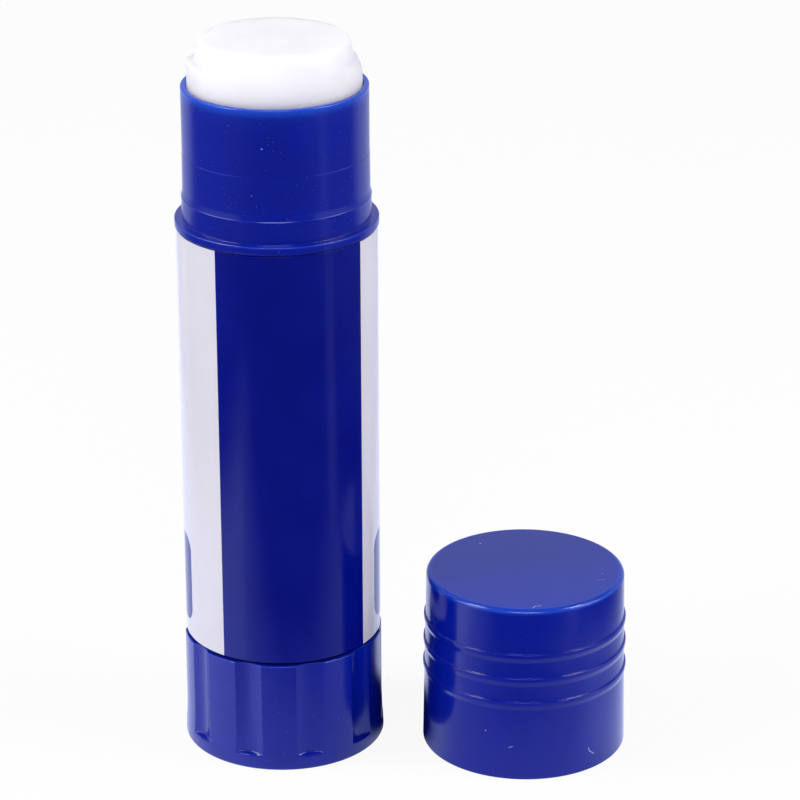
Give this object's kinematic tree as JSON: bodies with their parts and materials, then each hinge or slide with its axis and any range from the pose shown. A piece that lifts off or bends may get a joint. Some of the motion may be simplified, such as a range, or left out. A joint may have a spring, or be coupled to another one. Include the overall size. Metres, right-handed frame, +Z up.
{
  "type": "glue stick",
  "caption": "Twist-up glue stick: fluted base knob turns a screw that lifts a carrier and the glue out of a labelled tube; push-on ringed cap stands beside it.",
  "frame": {"origin": "centre of the knob's foot, on the surface that the stick stands on", "axes": "+Z up along the stick from the knob to the glue; the cap stands on its mouth along +X"},
  "size_m": [0.0452, 0.0206, 0.0737],
  "materials": {
    "blue_shell": "moulded blue polypropylene, glossy with fine dust and faint scuffs",
    "label_film": "white gloss film label with bare deep blue panels",
    "blue_knob": "moulded blue polypropylene, satin gloss",
    "spindle_plastic": "natural white polypropylene, as moulded",
    "carrier_plastic": "natural white polypropylene, as moulded",
    "glue_block": "waxy white cast adhesive, slightly translucent",
    "blue_cap": "moulded blue polypropylene, glossy"
  },
  "bodies": {
    "barrel": {"barrel": "blue_shell", "label": "label_film"},
    "knob": {"base_knob": "blue_knob", "spindle": "spindle_plastic"},
    "carrier": {"carrier": "carrier_plastic", "glue": "glue_block"},
    "cap": {"cap": "blue_cap"}
  },
  "joints": [
    {"name": "knob_turn", "type": "hinge", "parent": "barrel", "child": "knob", "pos_m": [0, 0, 0], "axis": [0, 0, 1], "range_deg": [-234.5, 3024.5]},
    {"name": "carrier_rise", "type": "slide", "parent": "barrel", "child": "carrier", "axis": [0, 0, 1], "range_m": [-0.00325, 0.042]},
    {"name": "cap_lift", "type": "slide", "parent": "barrel", "child": "cap", "axis": [0, 0, 1], "range_m": [0, 0.08]}
  ],
  "couplings": [
    {"joint": "knob_turn", "follows": "carrier_rise", "rad_per_m": 1256.6}
  ]
}
